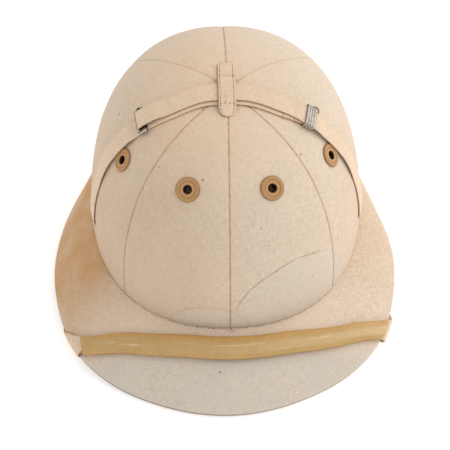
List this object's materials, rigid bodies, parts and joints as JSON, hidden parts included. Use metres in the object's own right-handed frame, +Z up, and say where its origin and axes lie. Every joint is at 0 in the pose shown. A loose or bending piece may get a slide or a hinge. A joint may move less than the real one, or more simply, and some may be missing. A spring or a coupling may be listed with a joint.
{
  "type": "polo helmet",
  "caption": "Riding helmet for polo: canvas-covered domed shell of sewn gores with a long peaked brim, vents, a webbing strap with slides and a leather chin guard.",
  "frame": {"origin": "on the surface that the brim rests on, under the middle of the overall box", "axes": "+Z up through the crown, -Y towards the peak, +X to the right of someone who faces the peak"},
  "size_m": [0.2532, 0.3208, 0.1646],
  "materials": {
    "canvas": "stained cream canvas",
    "webbing": "ribbed cotton webbing",
    "chin_leather": "worn tan, satin",
    "vent_wood": "turned, matte",
    "slide_metal": "tarnished nickel"
  },
  "bodies": {
    "root": {"crown_gore_front_left": "canvas", "crown_gore_front_right": "canvas", "crown_gore_side_left": "canvas", "crown_gore_side_right": "canvas", "crown_gore_back_left": "canvas", "crown_gore_back_right": "canvas", "brim": "canvas", "eyelet_front_left": "vent_wood", "eyelet_front_right": "vent_wood", "eyelet_side_left": "vent_wood", "eyelet_side_right": "vent_wood", "webbing_strap": "webbing", "slide_right": "slide_metal", "slide_left": "slide_metal", "keeper_tab": "canvas", "chin_guard": "chin_leather"}
  },
  "joints": []
}
